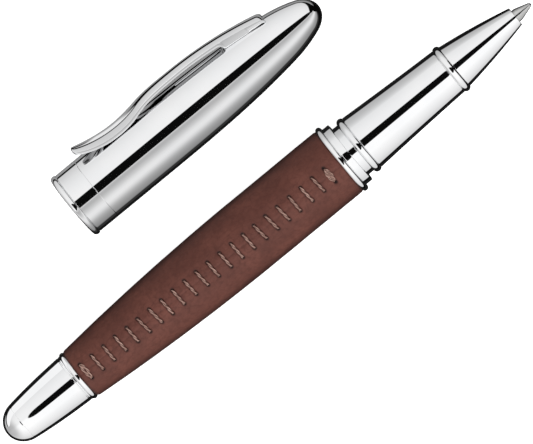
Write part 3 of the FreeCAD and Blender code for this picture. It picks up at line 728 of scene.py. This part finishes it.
def leather_relief(along, aside):
    """Height of the hide over its plain curve, how much painted shade the spot gets, and how far it
    is strained.
    """
    height = 0.022 * noise.noise((along * 0.22, aside * 0.22, 3.1))
    # The seam shade sums painted shade: seam groove, both sides of the cord, needle holes and the
    # hide's ends.
    tuck = 0.0
    strain = bell(aside, STRAIN_WIDTH)
    seam_end = min(along - LEATHER_BACK, LEATHER_FRONT - along)
    if abs(aside) < 6 and seam_end > 0.1:
        waver = aside - 0.06 * noise.noise((along * 0.8, 0, 9.0))
        closed = 0.5 + 0.5 * noise.noise((along * 0.9, 4.0, 2.0))
        height -= SEAM_DEPTH * closed * bell(waver, SEAM_WIDTH)
        height += SWELL_HEIGHT * bell(abs(aside) - SWELL_AT, SWELL_WIDTH)
        # Painted shade in the seam's groove.
        tuck += 0.34 * closed * bell(waver, 0.10)
        middle, shift, lean = min(STITCH_PLACES, key=lambda place: abs(place[0] - along))
        off = along - middle - lean * aside
        across = aside - shift
        half = STITCH_LENGTH / 2
        pressed = 1 / (1 + math.exp((abs(across) - half) / PRESS_FADE))
        height -= PRESS_DEPTH * bell(off, PRESS_WIDTH) * pressed
        height += 0.035 * bell(abs(off) - 0.75, 0.4) * pressed
        # Painted shade along both sides of the cord.
        tuck += 0.45 * bell(abs(off) - 0.30, 0.12) * pressed
        for end in (-half, half):
            height -= HOLE_DEPTH * bell(math.hypot(off, across - end), HOLE_WIDTH)
            # Painted shade in and around the needle hole.
            tuck += 1.3 * bell(math.hypot(off, across - end * 1.05), HOLE_SHADE)
            beyond = abs(across) - half
            if beyond > 0 and across * end > 0:
                ripple = math.cos(math.tau * off / STITCH_PITCH * 1.5 + shift * 20)
                height += PUCKER_HEIGHT * ripple * bell(beyond - PUCKER_AT, PUCKER_WIDTH)
    edge = max(0.0, EDGE_WIDTH - seam_end) / EDGE_WIDTH
    height -= EDGE_DROP * edge * edge
    # Painted shade where the hide dips at its ends.
    tuck += 0.25 * edge
    return height, min(1.0, tuck), strain


def make_leather():
    """The hide over the barrel, pressed in by its stitches along the seam."""
    inner = [
        Vector((LEATHER_FRONT, TUBE_OUT)),
        Vector((LEATHER_LEVEL, TUBE_OUT)),
        Vector((48.0, 6.07)),
        Vector((38.0, 5.75)),
        Vector((28.0, 5.20)),
        Vector((LEATHER_BACK, 4.38)),
    ]
    shape = spin_line(LEATHER_LINE + inner, 200, closed=True)
    near_seam = []
    for edge in shape.edges:
        spots = [vert.co for vert in edge.verts]
        angles = [math.atan2(-co.y, co.z) for co in spots]
        outer = all(math.hypot(co.y, co.z) > out_at(LEATHER_LINE, co.x) - 0.1 for co in spots)
        if outer and all(abs(angle - math.radians(5)) < math.radians(26) for angle in angles):
            near_seam.append(edge)
    bmesh.ops.subdivide_edges(shape, edges=near_seam, cuts=1, use_grid_fill=True)
    seam_shade_layer = shape.verts.layers.float.new("tuck")
    strains = shape.verts.layers.float.new("strain")
    for vert in shape.verts:
        along = vert.co.x
        plain = out_at(LEATHER_LINE, along)
        out = math.hypot(vert.co.y, vert.co.z)
        if out < plain - 0.2:
            continue
        angle = math.atan2(-vert.co.y, vert.co.z)
        height, tuck, strain = leather_relief(along, (angle - seam_angle(along)) * plain)
        vert.co.y *= (plain + height) / out
        vert.co.z *= (plain + height) / out
        # Keeps the painted shade for the leather's colour.
        vert[seam_shade_layer] = tuck
        vert[strains] = strain
    set_down(
        shape, "leather_sleeve_looks", PEN_AXIS, LEATHER, "barrel",
        ["leather_sleeve"], False,
    )


def twisted_cord(length):
    """Two plies laid round each other along +Y, as one bmesh."""
    ply, ply_sides, offset, twist, steps = 0.125, 8, 0.135, math.tau * 1.5, 30
    cord = bmesh.new()
    for start_angle in (0, math.pi):
        ring = bmesh.ops.create_circle(
            cord, segments=ply_sides, radius=ply, matrix=Matrix.Rotation(math.pi / 2, 4, "X")
        )
        verts = ring["verts"]
        start = (offset * math.cos(start_angle), -length / 2, offset * math.sin(start_angle))
        bmesh.ops.translate(cord, vec=start, verts=verts)
        edges = list({edge for vert in verts for edge in vert.link_edges})
        for _ in range(steps):
            pulled = bmesh.ops.extrude_edge_only(cord, edges=edges)["geom"]
            verts = [part for part in pulled if isinstance(part, bmesh.types.BMVert)]
            edges = [part for part in pulled if isinstance(part, bmesh.types.BMEdge)]
            bmesh.ops.translate(cord, vec=(0, length / steps, 0), verts=verts)
            bmesh.ops.rotate(
                cord, cent=(0, 0, 0), matrix=Matrix.Rotation(twist / steps, 3, "Y"), verts=verts
            )
    bmesh.ops.holes_fill(cord, edges=cord.edges, sides=ply_sides)
    bmesh.ops.recalc_face_normals(cord, faces=cord.faces)
    return cord


def lay_stitch(target, cord_shading_layer, place, lean, length, turn, bow=0.0, lift=0.0):
    """Bends a length of cord over the barrel and down into its two needle holes."""
    cord = twisted_cord(length + CORD_IN_HOLES)
    bmesh.ops.rotate(
        cord, cent=(0, 0, 0), matrix=Matrix.Rotation(turn, 3, "Y"), verts=cord.verts
    )
    spare = bpy.data.meshes.new("spare_cord")
    cord.to_mesh(spare)
    cord.free()
    before = set(target.verts)
    target.from_mesh(spare)
    bpy.data.meshes.remove(spare)
    along, aside = place
    half = length / 2
    for vert in target.verts:
        if vert in before:
            continue
        across = vert.co.y
        dive = max(0.0, abs(across) - half + 0.22)
        rise = CORD_STANDS + lift + vert.co.z - 1.6 * dive * dive - 0.5 * dive
        belly = math.cos(min(1.0, abs(across) / half) * math.pi / 2) ** 0.7
        at = along + vert.co.x + bow * belly + lean * across
        angle = seam_angle(along) + (across + aside) / out_at(LEATHER_LINE, at)
        out = out_at(LEATHER_LINE, at) + rise
        # Painted light and shade: high on a ply's top, low underneath and where the cord dives into
        # the holes.
        vert[cord_shading_layer] = min(1.0, max(0.0, 0.30 + vert.co.z / 0.34 - dive * 1.6))
        vert.co = Vector((at, -out * math.sin(angle), out * math.cos(angle)))


def make_stitches():
    """All the stitches, with a looped one to lock the thread at each end of the seam."""
    rng = random.Random(SEED + 1)
    row = bmesh.new()
    cord_shading_layer = row.verts.layers.float.new("rub")
    for number, (along, aside, lean) in enumerate(STITCH_PLACES):
        turn = 0.5 + rng.uniform(-0.6, 0.6)
        place = (along, aside)
        if number == 0:
            lay_stitch(row, cord_shading_layer, place, 0.06, 3.2, turn, bow=-0.22)
            lay_stitch(row, cord_shading_layer, place, 0.02, 3.2, turn + 1, bow=0.36)
        elif number == STITCHES - 1:
            lay_stitch(row, cord_shading_layer, place, 0.0, 2.7, turn, bow=-0.38)
            lay_stitch(row, cord_shading_layer, place, 0.0, 2.7, turn + 1, bow=0.38)
            lay_stitch(row, cord_shading_layer, place, 0.16, 2.1, turn + 2, lift=0.08)
        else:
            lay_stitch(row, cord_shading_layer, place, lean, STITCH_LENGTH, turn)
    set_down(
        row, "seam_stitching_looks", PEN_AXIS, THREAD, "barrel",
        ["seam_stitching"], False,
    )


# ---------------------------------------------------------------- cap and clip

CAP_SKIN = [(19.0, CAP_OUT, 0), (CAP_TAPER_END, 5.0, -7.6), (54.7, 3.52, -20), (57.75, 0, -90)]
CAP_LINE = lathe_line([(0, CAP_OUT)] + CAP_SKIN)


def make_cap():
    turned(
        "cap_shell",
        [(CAP_RING_FRONT, CAP_BORE), (CAP_RING_FRONT, CAP_OUT)]
        + [(5.53, CAP_OUT), (5.6, 6.39), (5.67, CAP_OUT)]
        + CAP_SKIN
        + [(54.75, 0), (54.75, 2.47), (CAP_TAPER_END, 4.43)]
        + [(CAP_BORE_END, CAP_BORE), (CAP_RING_FRONT, CAP_BORE)],
        CAP_AXIS, CHROME, "cap", around=224, edge=0.02, closed=False,
    )
    turned(
        "cap_mouth_ring", bead(0, CAP_RING_FRONT, 6.64, 0.44, CAP_BORE),
        CAP_AXIS, CHROME, "cap", around=192,
    )
    turned(
        "inner_cap",
        [
            (4.0, 5.75),
            (4.0, CAP_BORE),
            (CAP_BORE_END, CAP_BORE),
            (45.4, 4.64),
            (45.4, 0),
            (44.0, 0),
            (44.0, 2.0),
            (40.0, 2.4),
            (25.0, 4.7),
            (24.6, 5.15),
            (9.0, 5.4),
            (4.0, 5.75),
        ],
        CAP_AXIS, BLACK_PLASTIC, "cap", around=96, edge=0.08, closed=False,
    )
    turned(
        "clip_screw",
        [(45.8, 0), (45.8, 1.5), (46.6, 1.5), (46.6, 0.75), (53.75, 0.75), (53.75, 0)],
        CAP_AXIS, SPRING_STEEL, "cap", around=48, closed=False,
    )


CLIP_END, BLOCK_BACK, CORNER_BACK, BLOCK_FRONT = 6.55, 39.8, 47.6, 48.6
CLIP_TOP = lathe_line(
    [
        (CLIP_END, 9.34, -27), (15.3, 7.22, 0), (20.3, 7.89, 15), (29.3, 8.62, 0),
        (CORNER_BACK, 6.24, -14.7),
    ]
)
CLIP_HALF_WIDTH = lathe_line(
    [
        (CLIP_END, 1.0, 58), (7.9, 1.72, 14), (14.4, 2.40, 0), (19.5, 2.18, -9), (26.0, 1.64, -2),
        (BLOCK_FRONT, 1.6, 0),
    ]
)
END_ROUND, NOTCH_ROUND = 0.42, 0.9
CLIP_THICK, CLIP_HOLLOW, CLIP_CROWN, CLIP_LEAN = 0.68, 0.34, 0.29, 0.055
CORNER_SLOPE, CORNER_DROP = 0.25, 0.62
LIFT_FROM, NOSE_LIFT, SEAT_GAP = 44.5, 0.22, 0.05


def clip_top(along):
    """Height of the clip's back over the cap's axis, with its rounded front corner."""
    if along <= CORNER_BACK:
        return out_at(CLIP_TOP, along)
    share = (along - CORNER_BACK) / (BLOCK_FRONT - CORNER_BACK)
    drop = CORNER_SLOPE * share + CORNER_DROP * (1 - math.sqrt(1 - share * share * 0.96))
    return out_at(CLIP_TOP, CORNER_BACK) - drop


def clip_floor(along, aside, share, top):
    """Height of the clip's underside: hollow under the arm, down on the cap under the block."""
    free = top - CLIP_THICK - CLIP_HOLLOW * share * share
    if along < BLOCK_BACK - NOTCH_ROUND:
        return free
    lifted = max(0.0, along - LIFT_FROM) / (BLOCK_FRONT - LIFT_FROM)
    skin = out_at(CAP_LINE, along) + SEAT_GAP + NOSE_LIFT * lifted
    seat = math.sqrt(skin * skin - aside * aside)
    filled = min(1.0, (along - BLOCK_BACK + NOTCH_ROUND) / NOTCH_ROUND)
    return free + (min(seat, free) - free) * (1 - math.sqrt(1 - filled * filled))


def clip_section(along):
    """Points round the clip there, as (aside, height): the crowned back, then the underside."""
    half = out_at(CLIP_HALF_WIDTH, along)
    top = clip_top(along)
    left = 1 - min(1.0, (along - CLIP_END) / END_ROUND)
    squeeze = max(0.12, math.sqrt(1 - left * left))
    middle = top - (CLIP_THICK + CLIP_CROWN) / 2
    back = [
        (half * share, top - CLIP_CROWN * share * share)
        for share in (-1, -0.9, -0.75, -0.5, -0.25, 0, 0.25, 0.5, 0.75, 0.9, 1)
    ]
    under = []
    for share in (1, 0.6, 0, -0.6, -1):
        floor = clip_floor(along, half * share, share, top)
        under.append((share * (half - CLIP_LEAN * (top - floor)), floor))
    return [
        (aside * (0.45 + 0.55 * squeeze), middle + (height - middle) * squeeze)
        for aside, height in back + under
    ]


def make_clip():
    """The clip, lofted through its sections from the free end to the front of its block."""
    places = [CLIP_END + 0.03 * step * (1 + 0.15 * step) for step in range(8)]
    places += [7.3 + 0.34 * step for step in range(93)]
    places += [BLOCK_BACK - NOTCH_ROUND + 0.09 * step for step in range(11)]
    places += [40.2 + 0.4 * step for step in range(18)]
    places += [47.35 + 0.12 * step for step in range(10)] + [48.52, BLOCK_FRONT]
    shape = bmesh.new()
    section = clip_section(places[0])
    ring = [shape.verts.new((places[0], aside, height)) for aside, height in section]
    edges = [shape.edges.new(pair) for pair in zip(ring, ring[1:] + ring[:1])]
    shape.faces.new(ring)
    for along in places[1:]:
        pulled = bmesh.ops.extrude_edge_only(shape, edges=edges)["geom"]
        edges = [part for part in pulled if isinstance(part, bmesh.types.BMEdge)]
        fresh = {}
        for vert in ring:
            for edge in vert.link_edges:
                other = edge.other_vert(vert)
                if other in pulled:
                    fresh[vert] = other
        ring = [fresh[vert] for vert in ring]
        for vert, (aside, height) in zip(ring, clip_section(along)):
            vert.co = (along, aside, height)
    shape.faces.new(ring)
    bmesh.ops.recalc_face_normals(shape, faces=shape.faces)
    soften(shape, 0.10, 3, sharper_than=95)
    soften(shape, 0.36, 5, sharper_than=52)
    bmesh.ops.create_cube(
        shape, size=1, matrix=Matrix.LocRotScale((47.02, 0, 5.0), None, (1.15, 1.6, 2.2))
    )
    bmesh.ops.rotate(
        shape, cent=(0, 0, 0), matrix=Matrix.Rotation(CLIP_TURN - math.pi / 2, 3, "X"),
        verts=shape.verts,
    )
    set_down(shape, "clip_looks", CAP_AXIS, CHROME, "clip", ["clip"])


# ---------------------------------------------------------------- studio

PEN_LEAN = math.radians(39.415)
VIEW_CENTRE = PEN_AXIS + Vector((60.88, -0.14, 0)) * MM
VIEW_WIDTH = 0.0966
VIEW_FAR = 1.9
VIEW_TILT = math.radians(3.0)
SENSOR = 36.0


def set_camera():
    """A long lens nearly straight above, with the pen leaning up to the right."""
    data = bpy.data.cameras.new("camera")
    data.sensor_width = SENSOR
    data.lens = SENSOR * VIEW_FAR / VIEW_WIDTH
    data.clip_start = 0.05
    data.clip_end = 50
    camera = bpy.data.objects.new("camera", data)
    turn = Matrix.Rotation(VIEW_TILT, 4, "Y") @ Matrix.Rotation(-PEN_LEAN, 4, "Z")
    back = turn @ Vector((0, 0, 1))
    camera.matrix_world = Matrix.Translation(VIEW_CENTRE + back * VIEW_FAR) @ turn
    bpy.context.scene.collection.objects.link(camera)
    bpy.context.scene.camera = camera


def greys(*stops):
    """Ramp stops from (degrees from straight up, brightness)."""
    return [(degrees / 180, (level, level, level)) for degrees, level in stops]


# All in degrees: where the tent ends below, and the dark slot's place, half width and back end.
SIDE_CUT, FRONT_CUT = 122.0, 62.0
SLOT_AT, SLOT_HALF, SLOT_NARROWS = 3.2, 14.0, 0.06
SLOT_END, SLOT_END_SHARP = 15.5, 4.5
KEY_LEAN = math.radians(38)


def set_studio():
    """A white tent with a dark slot overhead, as the chrome sees it, and soft light for the rest."""
    world = bpy.data.worlds.new("studio")
    bpy.context.scene.world = world
    recipe = Recipe(world)
    way = recipe.node("ShaderNodeTexCoord")
    parts = recipe.node("ShaderNodeSeparateXYZ", None, {0: way})
    node = parts.socket.node
    x, y, z = (Signal(recipe, node.outputs[index]) for index in range(3))
    from_top = z.maths("ARCCOSINE") * (180 / math.pi)
    level = (x * x + y * y + 0.0001) ** 0.5
    to_front = (x.maths("MAXIMUM", 0.0) / level) ** 3.0
    from_top_side = from_top + to_front * (SIDE_CUT - FRONT_CUT)
    cap_side = recipe.node(
        "ShaderNodeValToRGB",
        {"stops": greys(
            (0, 0.88), (30, 0.88), (48, 0.85), (60, 0.82), (70, 0.79), (80, 0.76), (104, 0.65),
            (122, 0.60),
        )},
        {0: from_top / 180},
    )
    open_side = recipe.node(
        "ShaderNodeValToRGB",
        {"stops": greys((0, 1.0), (50, 1.0), (64, 0.93), (80, 0.86), (96, 0.79), (112, 0.69))},
        {0: from_top / 180},
    )
    tent = recipe.tint(y.between(-0.12, 0.12), open_side, cap_side)
    across = (y * -1).maths("ARCTAN2", z) * (180 / math.pi)
    tilt = x.maths("ARCSINE") * (180 / math.pi)
    slot_half = SLOT_HALF - tilt.maths("MAXIMUM", 0.0) * SLOT_NARROWS
    off = (across - SLOT_AT).maths("ABSOLUTE") - slot_half
    behind = ((tilt * -1) - SLOT_END).maths("MAXIMUM", 0.0) * SLOT_END_SHARP
    corner = ((off + SLOT_HALF).maths("MAXIMUM", 0.0) ** 2 + behind ** 2) ** 0.5 - SLOT_HALF
    slot = corner.between(-1.0, 1.0, 1.0, 0.0) * off.between(-0.8, 0.8, 1.0, 0.0)
    near_grey = (tilt * -1).between(35, 75) * 0.45
    mirror_view = recipe.tint(slot, tent, (0.003, 0.003, 0.003))
    mirror_view = recipe.tint(near_grey, mirror_view, (0.12, 0.12, 0.12))
    mirror_view = recipe.tint(
        from_top_side.between(SIDE_CUT - 1.5, SIDE_CUT + 1.5), mirror_view, (0.002, 0.002, 0.002)
    )
    rim = from_top.between(SIDE_CUT + 11, SIDE_CUT + 18) * 0.012
    mirror_view = recipe.tint(rim, mirror_view, (1.0, 1.0, 1.0))
    key = (y * -math.sin(KEY_LEAN) + z * math.cos(KEY_LEAN)).maths("MAXIMUM", 0.0)
    above = z.between(-0.15, 0.05)
    soft = (key ** 2.0 * 1.55 + 0.38) * above + 0.02
    soft_light = recipe.node("ShaderNodeCombineColor", None, {0: soft, 1: soft, 2: soft})
    path = recipe.node("ShaderNodeLightPath").socket.node
    is_glossy = Signal(recipe, path.outputs["Is Glossy Ray"])
    is_camera = Signal(recipe, path.outputs["Is Camera Ray"])
    seen = recipe.tint(is_glossy, soft_light, mirror_view)
    seen = recipe.tint(is_camera, seen, (1.0, 1.0, 1.0))
    backdrop = recipe.tree.nodes["Background"]
    recipe.feed(backdrop.inputs["Color"], seen)
    backdrop.inputs["Strength"].default_value = 1.04


def card_finish(name):
    """A glowing card's recipe, with its place across and above the cap's axis."""
    finish = finish_named(name)
    finish.tree.nodes.remove(finish.tree.nodes["Principled BSDF"])
    parts = finish.node("ShaderNodeSeparateXYZ", None, {0: finish.place()}).socket.node
    x, y, z = (Signal(finish, parts.outputs[index]) for index in range(3))
    return finish, x - CAP_AXIS.x, y - CAP_AXIS.y, z - CAP_AXIS.z


def set_card(shape, name, finish, light):
    """Puts a card beside the cap where only polished metal sees it."""
    glow = finish.node("ShaderNodeEmission", None, {"Color": light})
    finish.tree.links.new(glow.socket, finish.tree.nodes["Material Output"].inputs["Surface"])
    bmesh.ops.scale(shape, vec=(MM, MM, MM), verts=shape.verts)
    bmesh.ops.translate(shape, vec=CAP_AXIS, verts=shape.verts)
    mesh = bpy.data.meshes.new(name)
    shape.to_mesh(mesh)
    shape.free()
    mesh.materials.append(finish.owner)
    sheet = bpy.data.objects.new(name, mesh)
    bpy.context.scene.collection.objects.link(sheet)
    sheet.visible_camera = False
    sheet.visible_diffuse = False
    sheet.visible_shadow = False
    sheet.visible_transmission = False


CARD_FIRST, CARD_LAST, CARD_REACH = math.radians(12.5), math.radians(118), 12.0
CARD_BACK, CARD_LENGTH = -70, 170


def make_curved_card():
    """A card bent round the cap's inner side: its hollow face shades the cap, its back the pen."""
    finish, along, aside, up = card_finish("curved_card")
    round_by = (aside * -1).maths("ARCTAN2", up) * (180 / math.pi)
    hollow = finish.node(
        "ShaderNodeValToRGB",
        {"stops": greys(
            (12.5, 0.72), (15.0, 0.52), (17.6, 0.46), (21.5, 0.48), (29.5, 0.62), (36, 0.76),
            (42, 0.83), (48, 0.82), (54, 0.71), (60, 0.56), (66, 0.44), (73, 0.36), (80, 0.31),
            (87, 0.28), (91.5, 0.22), (94.5, 0.03), (106, 0.03), (110, 0.004),
        )},
        {0: round_by / 180},
    )
    back = finish.node(
        "ShaderNodeValToRGB",
        {"stops": greys(
            (20, 0.80), (40, 0.77), (52, 0.70), (64, 0.61), (76, 0.53), (86, 0.49), (94, 0.48),
            (98, 0.01),
        )},
        {0: round_by / 180},
    )
    beside_tail = along.between(-19 * MM, -15 * MM, 1.0, 0.0) * round_by.between(94, 98, 1.0, 0.0)
    back = finish.tint(beside_tail, back, (0.97, 0.97, 0.97))
    behind = finish.node("ShaderNodeNewGeometry", output=6)
    start = Vector((CARD_BACK, -CARD_REACH * math.sin(CARD_FIRST), CARD_REACH * math.cos(CARD_FIRST)))
    card = bmesh.new()
    ends = [card.verts.new(start), card.verts.new(start + Vector((CARD_LENGTH, 0, 0)))]
    card.edges.new(ends)
    bmesh.ops.spin(
        card, geom=card.verts[:] + card.edges[:], axis=(1, 0, 0), cent=(0, 0, 0),
        angle=CARD_LAST - CARD_FIRST, steps=60,
    )
    for face in card.faces:
        centre = face.calc_center_median()
        if face.normal.y * centre.y + face.normal.z * centre.z > 0:
            face.normal_flip()
    set_card(card, "curved_card", finish, finish.tint(behind, hollow, back))


def make_low_card():
    """A grey card lying beyond the clip, brighter under the clip's free end."""
    finish, along, aside, _ = card_finish("low_card")
    by_lip = along.between(11 * MM, 12.5 * MM) * along.between(15 * MM, 17 * MM, 1.0, 0.0)
    under_lip = by_lip * aside.between(12 * MM, 15 * MM)
    far = aside.between(7 * MM, 11 * MM, 0.09, 0.31) * aside.between(14.6 * MM, 15.4 * MM, 1.0, 0.0)
    grey = finish.node("ShaderNodeCombineColor", None, {0: far, 1: far, 2: far})
    grey = finish.tint(under_lip, grey, (0.85, 0.85, 0.85))
    centre, size = Vector((35, 12.95, -6.3)), Vector((110, 13.5, 1))
    card = bmesh.new()
    bmesh.ops.create_grid(
        card, x_segments=1, y_segments=1, size=0.5, matrix=Matrix.LocRotScale(centre, None, size)
    )
    set_card(card, "low_card", finish, grey)


def make_floor():
    """A plain pale table top, lit from below, which the chrome's reflections leave to the studio."""
    finish = finish_named("pale_table")
    place = finish.place()
    cloud = finish.grain(place, 0.35)
    finish.give(
        Base_Color=finish.tint(cloud, (0.94, 0.94, 0.94), (0.96, 0.96, 0.96)),
        Roughness=0.9,
        Specular_IOR_Level=0.1,
        Emission_Color=(1, 1, 1, 1),
        Emission_Strength=0.72,
    )
    sheet = bmesh.new()
    bmesh.ops.create_circle(sheet, cap_ends=True, segments=96, radius=3.0)
    mesh = bpy.data.meshes.new("table_top")
    sheet.to_mesh(mesh)
    sheet.free()
    mesh.materials.append(finish.owner)
    floor = bpy.data.objects.new("table_top", mesh)
    bpy.context.scene.collection.objects.link(floor)
    floor.visible_glossy = False
    floor.visible_diffuse = False


def finish_cad_nodes():
    """The clip's bush is kept as packed, with its own finish."""
    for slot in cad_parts["clip_retainer"].material_slots:
        slot.material = BRASS


bpy.context.scene.view_settings.view_transform = "Standard"
set_camera()
set_studio()
make_floor()
make_curved_card()
make_low_card()
make_tail()
make_barrel()
make_section()
make_refill()
make_spring()
make_leather()
make_stitches()
make_cap()
make_clip()
finish_cad_nodes()
